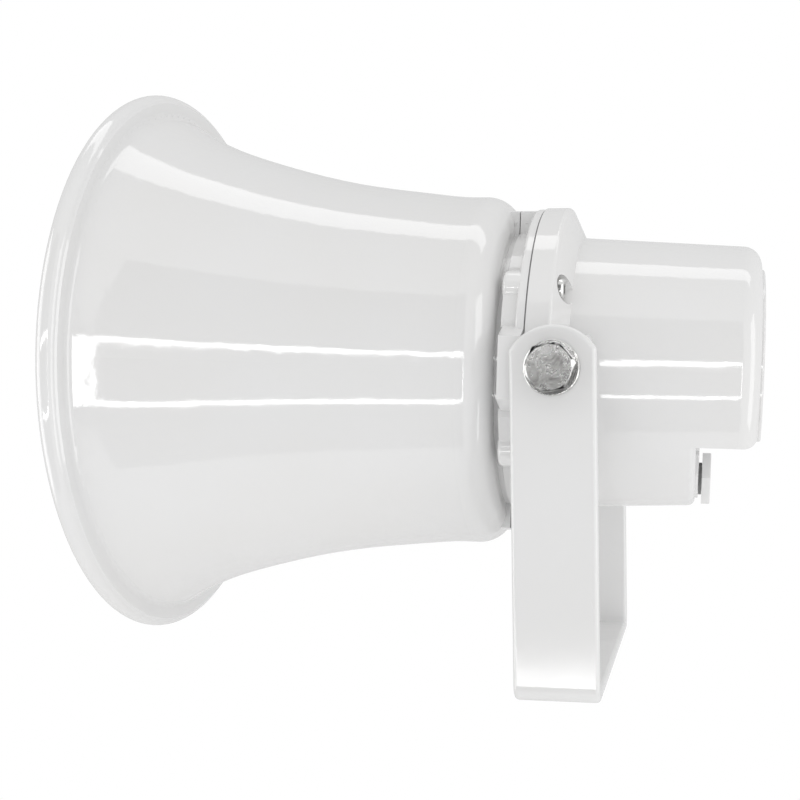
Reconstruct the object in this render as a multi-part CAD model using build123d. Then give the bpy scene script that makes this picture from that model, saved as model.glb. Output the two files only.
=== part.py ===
from build123d import *
import math
import os

# Horn loudspeaker on a tilting U-bracket.  Millimetres, +Z up.
# Origin: centre of the underside of the bracket's base, straight below the pivot.
# X runs along the pivot axis, the mouth of the horn looks towards -Y.
# The horn group is drawn about its own axis (Y) with the pivot at the origin,
# and HORN_PLACE sets it in the bracket at its resting tilt.

# ---- driving dimensions -------------------------------------------------------
PIVOT_HEIGHT = 96.4          # pivot axis above the underside of the base
REST_TILT = 2.6              # degrees that the mouth points up at rest
PLATE = 3.0                  # bracket steel
BRACKET_HALF = 62.4          # outer face of a leg from the centre plane
LEG_WIDTH = 24.9
LEG_TOP_RADIUS = 14.6
LEG_TOP_RISE = 12.4          # crown of the leg above the pivot
BEND_OUTER = 5.0
EDGE_ROUND = 1.35
SLOT_WIDTH = 7.0
SLOT_LENGTH = 16.0
SLOT_SPACING = 64.0
CENTRE_HOLE = 8.5
BOLT_CLEARANCE = 9.0

WALL = 2.6                   # moulded wall
LIP_RADIUS = 93.6            # widest point of the mouth's rolled lip
LIP_FRONT = -146.2
LIP_CROWN = -143.6           # station of the widest point
LIP_BACK = -139.2
LIP_BACK_RADIUS = 91.0
LIP_INNER = 87.4             # where the inside of the flare meets the lip
LIP_ROOT = (88.0, -139.1)    # where the hollow behind the lip begins
NECK_RADIUS = 57.8
SHOULDER_ROUND = 10.0
SHOULDER_REAR = -19.5        # rear of the shoulder, in front of the land on the collar
LAND_RADIUS = 45.5
BELL_REAR = -18.0
BELL_OPENING = 31.0
FLARE = [(-137.7, 85.35), (-125.0, 78.3), (-105.0, 70.9), (-85.0, 65.4),
         (-65.0, 61.5), (-45.0, 58.9)]

COLLAR_FRONT = -17.7
COLLAR_WAIST = 46.5
COLLAR_FLANGE = 53.6
COLLAR_STEP = -12.7          # front of the collar's flange
COLLAR_REAR = -10.0
BORE = 41.8                  # inside of the collar and of the housing's flange
SEAM = 0.5                   # gasket between the two flanges
LUG_FACE = 58.0
LUG_FACE_HALF = 9.2          # half height of the lug's outer face
LUG_SLOPE = 0.405            # how fast the lug's front part grows taller towards the axis
LUG_REAR_SLOPE = 0.10        # the same, for its part over the housing
LUG_FRONT = -16.5
LUG_REAR = 9.4
LUG_FOOT = 45.3              # underside of the lug where it reaches over the housing
LUG_GAP = 0.35               # air between the lug and the housing's slot
WEB_FRONT = -17.2            # webs between the lugs and the screw bosses
PAD_HALF = 14.0              # top and bottom register pads
PAD_RADIUS = 53.2

FLANGE_RADIUS = 54.0         # rear housing
FLANGE_REAR = -2.2
CONE_FOOT = 44.3
CONE_REAR = 2.4
HOUSING_END = 57.9
HOUSING_END_RADIUS = 41.0
HOUSING_ROUND = 6.0
HOUSING_WALL = 2.8
PLATEAU_RADIUS = 34.0
PLATEAU = 1.0
NOTCH_FACE = 40.3
NOTCH_ROOF = -22.2
ROOF_ROUND = 4.0             # where the notch meets the rear end
STEP_ROUND = 2.2             # rim of the notch's face
INLET_PAD = 0.9
INLET_HEIGHT = -33.4

SCREW_CIRCLE = 48.0          # flange screws
SCREW_ANGLES = (30, 150, 210, 330)
SCREW_SEAT = -1.8
BOSS_RADIUS = 5.6
POCKET_RADIUS = 4.4
THREAD_HOLE = 1.95           # radius that a screw's thread is cut into
FREE_HOLE = 2.2              # radius that a screw passes through
RECESS_LENGTH = 1.24         # cross recess, as parts of the head's radius
RECESS_WIDTH = 0.26

BOLT_RADIUS = 4.0            # M8 pivot bolts
BOLT_FLATS = 13.0
BOLT_HEAD = 5.3
BOLT_TIP = 47.2
BOLT_SPIN = 11.0             # degrees, how the hexagon happens to stand
WASHER = 2.0
WASHER_RADIUS = 8.0
FRICTION_WASHER = 1.2
FRICTION_WASHER_RADIUS = 8.8
RUNNING_GAP = 0.2

PLUG_FLATS = 16.3            # blanking plug, 8 mm thread of 1.25 pitch
PLUG_HEAD = 2.7
PLUG_SHANK = 3.95
PLUG_LENGTH = 7.6
PLUG_SPIN = 5.0
SEAL_RADIUS = 5.2
SEAL = 1.0

BELL_SCREW_CIRCLE = 37.3     # screws from the collar into the bell
BELL_SCREW_ANGLES = (45, 135, 225, 315)
DRIVER_SCREW_CIRCLE = 26.0   # long screws through the driver
DRIVER_SCREW_ANGLES = (90, 210, 330)
INSERT_RADIUS = 6.2          # thread inserts of the lugs
INSERT_FOOT = 46.9

THROAT_RADIUS = 9.0
TUBE_MOUTH = -92.0           # tone tube
TUBE_FLANGE = 30.0
TUBE_WALL = 2.0
TUBE_MOUTH_RADIUS = 16.0
RIB_THICK = 2.4
RIB_ANGLES = (30, 150, 270)
BULLET_NOSE = -118.0         # reflector
BULLET_SHOULDER = -98.0
BULLET_REAR = -40.0
BULLET_FRONT_RADIUS = 31.0
BULLET_REAR_RADIUS = 38.0
BULLET_WALL = 2.2
POST_CIRCLE = 23.5
POST_REAR = -88.0

DRIVER_FRONT = -14.7         # rear face of the collar's front plate
CAP_REAR = -8.0              # rear face of the throat cap
CLAMP_REAR = -6.2
TOP_PLATE_REAR = -1.2
MAGNET_REAR = 10.8
BACK_PLATE_REAR = 15.8
DRIVER_RADIUS = 31.5
POLE_RADIUS = 11.9
COIL_RADIUS = 12.7
GAP_RADIUS = 13.6
DIAPHRAGM_RADIUS = 20.0
MAGNET_RADIUS = 33.0
MAGNET_BORE = 17.0
FRAME_SCREW_X = 20.5         # strap of the line transformer
FRAME_SCREW_Z = 18.8
FRAME_BAND = (16.6, 21.0)    # heights of the strap, above the winding
TERMINAL_X = 4.5             # the two ways of the terminal block
TERMINAL_Z = -19.5
CORE = ((-15.0, 15.0), (19.0, 31.0), (-5.0, 21.0))

HORN_PLACE = Pos(0, 0, PIVOT_HEIGHT) * Rot(X=-REST_TILT)


# ---- helpers ------------------------------------------------------------------
def rod(radius, start, end, at=(0, 0)):
    """Round bar along the horn's axis between two stations, at (x, z)."""
    return Pos(at[0], (start + end) / 2, at[1]) * Rot(X=90) * Cylinder(radius, end - start)


def ring(outer, inner, start, end, at=(0, 0)):
    """Flat or long ring along the horn's axis."""
    return rod(outer, start, end, at) - rod(inner, start - 1, end + 1, at)


def cross_rod(radius, start, end, at=(0, 0)):
    """Round bar along the pivot axis between two x values, at (y, z)."""
    return Pos((start + end) / 2, at[0], at[1]) * Rot(Y=90) * Cylinder(radius, end - start)


def block(x, y, z):
    """Box from its three pairs of limits."""
    centre = Pos(sum(x) / 2, sum(y) / 2, sum(z) / 2)
    return centre * Box(x[1] - x[0], y[1] - y[0], z[1] - z[0])


def turned(*edges):
    """Solid of revolution about the horn's axis from edges drawn as (radius, station)."""
    return revolve(make_face(list(edges)), Axis.Y)


def polar(radius, degrees):
    """(x, z) of a point on a circle about the horn's axis."""
    turn = math.radians(degrees)
    return radius * math.cos(turn), radius * math.sin(turn)


def hexagon_bar(flats, start, end, at, spin):
    """Hexagonal bar along the horn's axis."""
    face = RegularPolygon(flats / 2, 6, major_radius=False, rotation=spin)
    return Pos(at[0], end, at[1]) * Rot(X=90) * extrude(face, end - start)


def pan_screw(head_radius, head, shank_radius, seat, tip, at):
    """Cross-recess screw along the horn's axis, head to the rear of its seat."""
    dome = rod(head_radius, seat, seat + head, at)
    dome = fillet(dome.edges().group_by(Axis.Y)[-1], head * 0.45)
    slot = Box(head_radius * RECESS_LENGTH, head, head_radius * RECESS_WIDTH)
    cross = Rot(Y=45) * (slot + Rot(Y=90) * slot)
    dome -= Pos(at[0], seat + head, at[1]) * cross
    return dome + rod(shank_radius, tip, seat + head / 4, at)


# ---- bracket ------------------------------------------------------------------
def u_bracket():
    """Bent steel strip with crowned legs, pivot holes and a slotted base."""
    tall = PIVOT_HEIGHT + LEG_TOP_RISE + 5
    outer = Pos(0, tall / 2) * Rectangle(2 * BRACKET_HALF, tall)
    outer = fillet(outer.vertices().group_by(Axis.Y)[0], BEND_OUTER)
    inner = Pos(0, PLATE + tall / 2) * Rectangle(2 * (BRACKET_HALF - PLATE), tall)
    inner = fillet(inner.vertices().group_by(Axis.Y)[0], BEND_OUTER - PLATE)
    strip = Rot(X=90) * extrude(outer - inner, LEG_WIDTH / 2, both=True)

    crown_centre = PIVOT_HEIGHT + LEG_TOP_RISE - LEG_TOP_RADIUS
    shoulder = crown_centre + math.sqrt(LEG_TOP_RADIUS ** 2 - LEG_WIDTH ** 2 / 4)
    side = Pos(0, shoulder / 2) * Rectangle(LEG_WIDTH, shoulder)
    crown = Pos(0, crown_centre) * Circle(LEG_TOP_RADIUS)
    side += crown & (Pos(0, crown_centre) * Rectangle(LEG_WIDTH, 2 * LEG_TOP_RADIUS))
    mask = Rot(Z=90) * Rot(X=90) * extrude(side, BRACKET_HALF + 1, both=True)
    bracket = strip & mask

    long_edges = [e for e in bracket.edges() if e.length > 3.5]
    bracket = fillet(long_edges, EDGE_ROUND)
    bracket -= cross_rod(BOLT_CLEARANCE / 2, -BRACKET_HALF - 1, BRACKET_HALF + 1,
                         (0, PIVOT_HEIGHT))
    bracket -= Cylinder(CENTRE_HOLE / 2, 4 * PLATE)
    for side_x in (-1, 1):
        slot = SlotOverall(SLOT_LENGTH, SLOT_WIDTH)
        bracket -= Pos(side_x * SLOT_SPACING / 2, 0, -1) * extrude(slot, PLATE + 2)
    return bracket


# ---- horn ---------------------------------------------------------------------
def horn_bell():
    """Flared bell with a rolled lip, round rear shoulder and rear wall."""
    neck_end = SHOULDER_REAR - SHOULDER_ROUND
    shoulder_rim = NECK_RADIUS - SHOULDER_ROUND
    flare = [(radius, station) for station, radius in FLARE]
    neck = (NECK_RADIUS, neck_end)
    outside = Spline(*flare, neck, tangents=[(-0.62, 1), (0, 1)])
    shoulder = RadiusArc(neck, (shoulder_rim, SHOULDER_REAR), -SHOULDER_ROUND)
    land = Polyline((shoulder_rim, SHOULDER_REAR), (LAND_RADIUS, SHOULDER_REAR),
                    (LAND_RADIUS, BELL_REAR), (BELL_OPENING, BELL_REAR))
    inner_rear = SHOULDER_REAR - WALL
    inner_rim = shoulder_rim - 0.5
    bore = Line((BELL_OPENING, BELL_REAR), (BELL_OPENING, inner_rear))
    floor = Line((BELL_OPENING, inner_rear), (inner_rim, inner_rear))
    inner_neck = (NECK_RADIUS - WALL, neck_end - 2)
    bend = SagittaArc((inner_rim, inner_rear), inner_neck, 2.6)
    inner_flare = [(radius - WALL * 1.08, station) for radius, station in reversed(flare)]
    mouth = (LIP_INNER, LIP_FRONT + 1.5)
    inside = Spline(inner_neck, *inner_flare, mouth, tangents=[(0, -1), (0.75, -1)])
    nose = ThreePointArc(mouth, (LIP_INNER + 2.2, LIP_FRONT), (LIP_RADIUS - 2.2, LIP_FRONT + 0.4))
    crown = ThreePointArc((LIP_RADIUS - 2.2, LIP_FRONT + 0.4), (LIP_RADIUS, LIP_CROWN),
                          (LIP_BACK_RADIUS + 0.6, LIP_BACK - 0.5))
    heel = Line((LIP_BACK_RADIUS + 0.6, LIP_BACK - 0.5), (LIP_BACK_RADIUS, LIP_BACK))
    back = Line((LIP_BACK_RADIUS, LIP_BACK), LIP_ROOT)
    root = TangentArc(flare[0], LIP_ROOT, tangent=(0.62, -1))
    bell = turned(outside, shoulder, land, bore, floor, bend, inside, nose, crown, heel,
                  back, root)
    pads = block((-PAD_HALF, PAD_HALF), (BELL_REAR - 3.2, BELL_REAR), (-60, 60))
    pads &= ring(PAD_RADIUS, COLLAR_WAIST - 3, BELL_REAR - 3.2, BELL_REAR)
    bell += pads
    for angle in BELL_SCREW_ANGLES:
        at = polar(BELL_SCREW_CIRCLE, angle)
        bell += rod(4.0, BELL_REAR - 11, BELL_REAR - WALL / 2, at)
        bell -= rod(2.0, BELL_REAR - 9.6, BELL_REAR + 1, at)
    return bell


def bell_gasket():
    """Thin ring between the bell's rear wall and the collar."""
    gasket = ring(COLLAR_WAIST - 1.5, BELL_OPENING + 1, BELL_REAR, COLLAR_FRONT)
    for angle in BELL_SCREW_ANGLES:
        gasket -= rod(2.4, BELL_REAR - 1, COLLAR_FRONT + 1, polar(BELL_SCREW_CIRCLE, angle))
    return gasket


def bell_screws():
    """Four screws that hold the bell to the collar from behind."""
    return [pan_screw(3.6, 2.4, 1.95, DRIVER_FRONT, BELL_REAR - 9,
                      polar(BELL_SCREW_CIRCLE, angle)) for angle in BELL_SCREW_ANGLES]


def lug_outline(inner, slope, grow=0.0):
    """Tapered cross-section of the +X lug, from an inner x to its outer face."""
    foot = LUG_FACE_HALF + grow + slope * (LUG_FACE - inner)
    tip = LUG_FACE_HALF + grow
    points = [(inner, -foot), (LUG_FACE, -tip), (LUG_FACE, tip), (inner, foot)]
    return make_face(Polyline(*points, close=True))


def along_axis(face, start, end):
    """Extrude a face drawn as (x, z) between two stations."""
    return Pos(0, end, 0) * Rot(X=90) * extrude(face, end - start)


def pivot_lug():
    """Tapered block on the +X side of the collar that takes a pivot bolt."""
    lug = along_axis(lug_outline(COLLAR_WAIST - 8, LUG_SLOPE), LUG_FRONT, COLLAR_REAR)
    lug += along_axis(lug_outline(LUG_FOOT, LUG_REAR_SLOPE), COLLAR_REAR - 1, LUG_REAR)
    for face, bevel in ((lug.faces().sort_by(Axis.Y)[0], 1.5),
                        (lug.faces().sort_by(Axis.Y)[-1], 1.1)):
        rims = face.edges().filter_by(lambda e: e.center().X > LUG_FOOT + 2)
        lug = chamfer(rims, bevel)
    return lug


def boss_web(side):
    """Web between the +X lug and the screw boss above (+1) or below (-1) it."""
    points = [(38.5, 12.0), (49.4, 12.0), (49.4, 14.5), (46.0, 24.0), (38.5, 24.0)]
    outline = make_face(Polyline(*[(x, side * z) for x, z in points], close=True))
    return along_axis(outline, WEB_FRONT, COLLAR_STEP + 0.5)


def front_collar():
    """Throat plate, waist and flange, with pivot lugs, register pads and screw bosses."""
    collar = rod(COLLAR_WAIST, COLLAR_FRONT, COLLAR_STEP + 0.5)
    collar += rod(COLLAR_FLANGE, COLLAR_STEP, COLLAR_REAR)
    rim = collar.edges().filter_by(GeomType.CIRCLE).filter_by(
        lambda e: abs(e.radius - COLLAR_FLANGE) < 0.01 and e.center().Y < COLLAR_REAR - 0.1)
    collar = fillet(rim, 0.9)
    pads = block((-PAD_HALF, PAD_HALF), (COLLAR_FRONT, COLLAR_REAR), (-60, 60))
    pads &= ring(PAD_RADIUS, COLLAR_WAIST - 3, COLLAR_FRONT, COLLAR_REAR)
    collar += pads
    for angle in SCREW_ANGLES:
        boss = rod(BOSS_RADIUS, COLLAR_FRONT, COLLAR_REAR, polar(SCREW_CIRCLE, angle))
        collar += fillet(boss.edges().group_by(Axis.Y)[0], 1.4)
    ear = pivot_lug() + boss_web(1) + boss_web(-1)
    collar += ear
    collar += mirror(ear, Plane.YZ)
    collar -= rod(BORE, DRIVER_FRONT, COLLAR_REAR + 1)
    collar -= rod(THROAT_RADIUS, COLLAR_FRONT - 2, DRIVER_FRONT + 1)
    for angle in SCREW_ANGLES:
        collar -= rod(THREAD_HOLE, COLLAR_FRONT + 1.4, COLLAR_REAR + 1, polar(SCREW_CIRCLE, angle))
    for angle in BELL_SCREW_ANGLES:
        collar -= rod(FREE_HOLE, COLLAR_FRONT - 1, DRIVER_FRONT + 1,
                      polar(BELL_SCREW_CIRCLE, angle))
    for angle in DRIVER_SCREW_ANGLES:
        collar -= rod(2.1, COLLAR_FRONT - 1, DRIVER_FRONT + 1, polar(DRIVER_SCREW_CIRCLE, angle))
    for side in (-1, 1):
        collar -= cross_rod(INSERT_RADIUS, min(side * INSERT_FOOT, side * 60),
                            max(side * INSERT_FOOT, side * 60))
    return collar


def lug_insert():
    """Brass thread insert of the +X lug."""
    body = cross_rod(INSERT_RADIUS - 0.02, INSERT_FOOT + 0.05, LUG_FACE - 0.3)
    return body - cross_rod(BOLT_RADIUS, INSERT_FOOT - 1, LUG_FACE + 1)


def pivot_bolt():
    """Hexagon-head bolt of the +X side, with a chamfered head and a plain shank."""
    seat = BRACKET_HALF + RUNNING_GAP + WASHER
    head = Rot(Z=90) * Rot(X=90) * extrude(RegularPolygon(BOLT_FLATS / 2, 6, major_radius=False,
                                           rotation=BOLT_SPIN), BOLT_HEAD)
    head = Pos(seat, 0, 0) * head
    cone_end = BOLT_FLATS / math.sqrt(3) + 0.05
    cutter = Cylinder(cone_end, BOLT_HEAD)
    cutter = chamfer(cutter.edges().group_by(Axis.Z)[-1], 0.85, 1.25)
    head &= Pos(seat + BOLT_HEAD / 2, 0, 0) * Rot(Y=90) * cutter
    shank = cross_rod(BOLT_RADIUS - 0.05, BOLT_TIP, seat + 0.5)
    shank = chamfer(shank.edges().sort_by(Axis.X)[0], 0.8)
    return head + shank


def pivot_washer():
    """Flat washer under the bolt's head."""
    start = BRACKET_HALF + RUNNING_GAP
    washer = cross_rod(WASHER_RADIUS, start, start + WASHER)
    washer = fillet(washer.edges().group_by(Axis.X)[-1], 0.4)
    return washer - cross_rod(BOLT_RADIUS + 0.2, start - 1, start + WASHER + 1)


def friction_washer():
    """Fibre washer between the lug and the bracket's leg."""
    washer = cross_rod(FRICTION_WASHER_RADIUS, LUG_FACE, LUG_FACE + FRICTION_WASHER)
    return washer - cross_rod(BOLT_RADIUS + 0.3, LUG_FACE - 1, LUG_FACE + 3)


def both_sides(piece):
    """The +X piece and its mirror image."""
    return [piece, mirror(piece, Plane.YZ)]


def tone_tube():
    """Tapered tube from the throat, with its flange and three ribs for the reflector."""
    step = COLLAR_FRONT - 3
    outer_throat = THROAT_RADIUS + TUBE_WALL
    outer_mouth = TUBE_MOUTH_RADIUS + TUBE_WALL
    points = [(THROAT_RADIUS, COLLAR_FRONT), (TUBE_FLANGE, COLLAR_FRONT), (TUBE_FLANGE, step),
              (outer_throat, step), (outer_mouth, TUBE_MOUTH + 1), (outer_mouth - 1, TUBE_MOUTH),
              (TUBE_MOUTH_RADIUS, TUBE_MOUTH)]
    tube = turned(Polyline(*points, close=True))
    for angle in RIB_ANGLES:
        reach = BULLET_FRONT_RADIUS - BULLET_WALL - 0.15
        rib = block((THROAT_RADIUS + 6, reach), (POST_REAR, -62), (-RIB_THICK / 2, RIB_THICK / 2))
        rib += rod(3.6, POST_REAR, POST_REAR + 14, (POST_CIRCLE, 0))
        rib -= turned(Polyline((0, step), (THROAT_RADIUS + 0.8, step),
                               (TUBE_MOUTH_RADIUS + 0.8, TUBE_MOUTH), (0, TUBE_MOUTH), close=True))
        rib -= rod(1.4, POST_REAR - 1, POST_REAR + 10, (POST_CIRCLE, 0))
        tube += Rot(Y=-angle) * rib
    for angle in DRIVER_SCREW_ANGLES:
        tube -= rod(THREAD_HOLE, step - 1, COLLAR_FRONT + 1, polar(DRIVER_SCREW_CIRCLE, angle))
    return tube


def reflector_bullet():
    """Bullet-shaped cup in the mouth that turns the sound back round the tone tube."""
    dome = TangentArc((0, BULLET_NOSE), (BULLET_FRONT_RADIUS, BULLET_SHOULDER), tangent=(1, 0))
    side = Line((BULLET_FRONT_RADIUS, BULLET_SHOULDER), (BULLET_REAR_RADIUS, BULLET_REAR))
    rim = Line((BULLET_REAR_RADIUS, BULLET_REAR), (BULLET_REAR_RADIUS - BULLET_WALL, BULLET_REAR))
    inner_front = BULLET_FRONT_RADIUS - BULLET_WALL
    inside = Line((BULLET_REAR_RADIUS - BULLET_WALL, BULLET_REAR), (inner_front, BULLET_SHOULDER))
    inner_dome = TangentArc((0, BULLET_NOSE + 2.4), (inner_front, BULLET_SHOULDER), tangent=(1, 0))
    axis = Line((0, BULLET_NOSE + 2.4), (0, BULLET_NOSE))
    shell = turned(dome, side, rim, inside, inner_dome, axis)
    outline = turned(dome, Line((BULLET_FRONT_RADIUS, BULLET_SHOULDER), (0, BULLET_SHOULDER)),
                     Line((0, BULLET_SHOULDER), (0, BULLET_NOSE)))
    for angle in RIB_ANGLES:
        at = polar(POST_CIRCLE, angle)
        post = rod(3.6, BULLET_SHOULDER - 0.5, POST_REAR - 0.1, at)
        post += rod(3.6, BULLET_NOSE, BULLET_SHOULDER, at) & outline
        shell += post
        shell -= rod(1.6, BULLET_NOSE, POST_REAR + 1, at)
        shell -= rod(3.1, BULLET_NOSE, BULLET_SHOULDER - 4, at)
    return shell


def bullet_screws():
    """Three screws from the front through the reflector into the ribs."""
    seat = BULLET_SHOULDER - 4
    screws = []
    for angle in RIB_ANGLES:
        at = polar(POST_CIRCLE, angle)
        head = rod(2.8, seat - 2.0, seat, at)
        head = fillet(head.edges().group_by(Axis.Y)[0], 0.8)
        slot = Box(3.4, 1.6, 0.8)
        head -= Pos(at[0], seat - 2.0, at[1]) * (slot + Rot(Y=90) * slot)
        screws.append(head + rod(1.35, seat - 0.5, POST_REAR + 9, at))
    return screws


# ---- rear housing -------------------------------------------------------------
def seam_gasket():
    """Rubber ring between the collar's flange and the housing's flange."""
    gasket = ring(COLLAR_FLANGE - 0.7, BORE + 0.6, COLLAR_REAR, COLLAR_REAR + SEAM)
    for angle in SCREW_ANGLES:
        gasket -= rod(2.4, COLLAR_REAR - 1, COLLAR_REAR + SEAM + 1, polar(SCREW_CIRCLE, angle))
    return gasket - lug_slots()


def lug_slots():
    """Cutters that let both lugs reach over the housing's flange."""
    slot = along_axis(lug_outline(LUG_FOOT - LUG_GAP, LUG_REAR_SLOPE, LUG_GAP),
                      COLLAR_REAR - 1, LUG_REAR + 1)
    return slot + mirror(slot, Plane.YZ)


def housing_outside():
    """Outer form of the rear housing, before it is hollowed."""
    front = COLLAR_REAR + SEAM
    outline = make_face(Polyline((0, front), (FLANGE_RADIUS, front), (FLANGE_RADIUS, FLANGE_REAR),
                                 (CONE_FOOT, CONE_REAR), (HOUSING_END_RADIUS, HOUSING_END),
                                 (0, HOUSING_END), close=True))
    edge = outline.vertices().filter_by(lambda v: abs(v.X - FLANGE_RADIUS) < 0.01
                                        and abs(v.Y - FLANGE_REAR) < 0.01)
    outline = fillet(edge, 1.3)
    corner = outline.vertices().filter_by(lambda v: abs(v.X - HOUSING_END_RADIUS) < 0.01)
    outline = fillet(corner, HOUSING_ROUND)
    form = revolve(outline, Axis.Y)
    form -= block((-60, 60), (NOTCH_FACE, 80), (-60, NOTCH_ROOF))
    step = form.edges().filter_by(
        lambda e: abs(e.center().Y - NOTCH_FACE) < 0.01 and abs(e.center().Z - NOTCH_ROOF) > 1)
    form = fillet(step, STEP_ROUND)
    turn_y, turn_z = HOUSING_END - ROOF_ROUND, NOTCH_ROOF + ROOF_ROUND
    form -= (block((-60, 60), (turn_y, 80), (-60, turn_z))
             - cross_rod(ROOF_ROUND, -61, 61, (turn_y, turn_z)))
    plateau = rod(PLATEAU_RADIUS, HOUSING_END - 2, HOUSING_END + PLATEAU)
    plateau -= block((-60, 60), (40, 80), (-60, NOTCH_ROOF + 2.2))
    form += fillet(plateau.edges().group_by(Axis.Y)[-1], 0.5)
    return form


def inlet_pad():
    """Raised land round the cable inlet on the notch's face."""
    top = NOTCH_ROOF - 1.4
    outline = Circle(39.6) & (Pos(0, top - 20) * Rectangle(48, 40))
    outline = fillet(outline.vertices(), 2.0)
    land = Pos(0, NOTCH_FACE + INLET_PAD, 0) * Rot(X=90) * extrude(outline, INLET_PAD + 0.5)
    return land


def rear_housing():
    """Drafted can with a chamfered flange, screw pockets and a notch for the cable inlet."""
    front = COLLAR_REAR + SEAM
    inner = turned(Polyline((0, front - 1), (BORE, front - 1), (BORE, CONE_REAR),
                            (HOUSING_END_RADIUS - HOUSING_WALL, HOUSING_END - HOUSING_WALL),
                            (0, HOUSING_END - HOUSING_WALL), close=True))
    inner -= block((-60, 60), (NOTCH_FACE - HOUSING_WALL, 80), (-60, NOTCH_ROOF + HOUSING_WALL))
    housing = housing_outside() + inlet_pad() - inner
    housing += rod(7.0, NOTCH_FACE - HOUSING_WALL - 2.4, NOTCH_FACE - 1, (0, INLET_HEIGHT))
    housing -= rod(PLUG_SHANK + 0.07, NOTCH_FACE - 8, NOTCH_FACE + 2, (0, INLET_HEIGHT))
    for angle in SCREW_ANGLES:
        at = polar(SCREW_CIRCLE, angle)
        housing += rod(BOSS_RADIUS - 0.3, front, SCREW_SEAT, at) - rod(BORE, front - 1, 5)
        housing -= screw_pocket(angle)
        housing -= rod(FREE_HOLE, front - 1, SCREW_SEAT + 1, at)
    return housing - lug_slots()


def screw_pocket(angle):
    """Cutter of one screw pocket: a round well that leaves the can's wall whole."""
    well = rod(POCKET_RADIUS, SCREW_SEAT, CONE_REAR + 1, (SCREW_CIRCLE, 0))
    well -= rod(CONE_FOOT, SCREW_SEAT - 1, CONE_REAR + 2)
    return Rot(Y=-angle) * well


def flange_screws():
    """Four cross-recess screws that hold the housing to the collar."""
    return [pan_screw(3.3, 2.2, 1.9, SCREW_SEAT, COLLAR_FRONT + 2,
                      polar(SCREW_CIRCLE, angle)) for angle in SCREW_ANGLES]


def inlet_plug():
    """Hexagon blanking plug in the cable inlet."""
    seat = NOTCH_FACE + INLET_PAD + SEAL + 0.1
    at = (0, INLET_HEIGHT)
    head = hexagon_bar(PLUG_FLATS, seat, seat + PLUG_HEAD, at, PLUG_SPIN)
    rims = head.edges().filter_by(GeomType.LINE).filter_by(
        lambda e: abs(e.center().Y - seat - PLUG_HEAD) < 0.01)
    head = fillet(rims, 0.4)
    shank = rod(PLUG_SHANK, seat - PLUG_LENGTH, seat + 1, at)
    return head + chamfer(shank.edges().group_by(Axis.Y)[0], 0.6)


def inlet_seal():
    """Rubber ring under the plug's head."""
    start = NOTCH_FACE + INLET_PAD + 0.05
    return ring(SEAL_RADIUS, PLUG_SHANK + 0.1, start, start + SEAL, (0, INLET_HEIGHT))


# ---- compression driver -------------------------------------------------------
def throat_cap():
    """Throat adaptor in front of the diaphragm, with a raised rim and a dished rear."""
    cap = rod(DRIVER_RADIUS, DRIVER_FRONT + 0.5, CAP_REAR)
    cap -= rod(THROAT_RADIUS, DRIVER_FRONT - 1, -10.5)
    cap -= turned(Polyline((0, -10.9), (THROAT_RADIUS + 3, -10.9), (22.0, -9.6),
                           (22.0, CAP_REAR + 1), (0, CAP_REAR + 1), close=True))
    for angle in DRIVER_SCREW_ANGLES:
        cap -= rod(2.1, DRIVER_FRONT - 1, CAP_REAR + 1, polar(DRIVER_SCREW_CIRCLE, angle))
    return cap


def throat_gasket():
    """Fibre gasket between the collar and the throat cap."""
    gasket = ring(DRIVER_RADIUS - 0.5, THROAT_RADIUS + 1, DRIVER_FRONT, DRIVER_FRONT + 0.5)
    for angle in DRIVER_SCREW_ANGLES:
        gasket -= rod(2.4, DRIVER_FRONT - 1, DRIVER_FRONT + 2, polar(DRIVER_SCREW_CIRCLE, angle))
    return gasket


def clamp_ring():
    """Spacer ring that frames the diaphragm."""
    ring_body = ring(DRIVER_RADIUS, DIAPHRAGM_RADIUS + 1, CAP_REAR, CLAMP_REAR)
    for angle in DRIVER_SCREW_ANGLES:
        ring_body -= rod(2.1, CAP_REAR - 1, CLAMP_REAR + 1, polar(DRIVER_SCREW_CIRCLE, angle))
    return ring_body


def top_plate():
    """Front pole plate of the magnet circuit."""
    plate = ring(DRIVER_RADIUS, GAP_RADIUS, CLAMP_REAR, TOP_PLATE_REAR)
    for angle in DRIVER_SCREW_ANGLES:
        plate -= rod(THREAD_HOLE, CLAMP_REAR - 1, TOP_PLATE_REAR + 1, polar(DRIVER_SCREW_CIRCLE, angle))
    return plate


def magnet():
    """Ferrite ring."""
    body = ring(MAGNET_RADIUS, MAGNET_BORE, TOP_PLATE_REAR, MAGNET_REAR)
    for angle in DRIVER_SCREW_ANGLES:
        body -= rod(2.6, TOP_PLATE_REAR - 1, MAGNET_REAR + 1, polar(DRIVER_SCREW_CIRCLE, angle))
    return body


def back_plate():
    """Rear pole plate with the centre pole, drilled for the driver screws."""
    plate = rod(DRIVER_RADIUS, MAGNET_REAR, BACK_PLATE_REAR)
    plate += rod(POLE_RADIUS, -6.6, MAGNET_REAR + 1)
    for angle in DRIVER_SCREW_ANGLES:
        plate -= rod(2.1, MAGNET_REAR - 1, BACK_PLATE_REAR + 1, polar(DRIVER_SCREW_CIRCLE, angle))
    for side in (-1, 1):
        plate -= rod(1.45, BACK_PLATE_REAR - 4, BACK_PLATE_REAR + 1,
                     (side * FRAME_SCREW_X, FRAME_SCREW_Z))
    return plate


def driver_screws():
    """Three long screws that clamp the driver through the collar into the tube's flange."""
    return [pan_screw(3.4, 2.4, 1.9, BACK_PLATE_REAR, COLLAR_FRONT - 2.8,
                      polar(DRIVER_SCREW_CIRCLE, angle)) for angle in DRIVER_SCREW_ANGLES]


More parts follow.
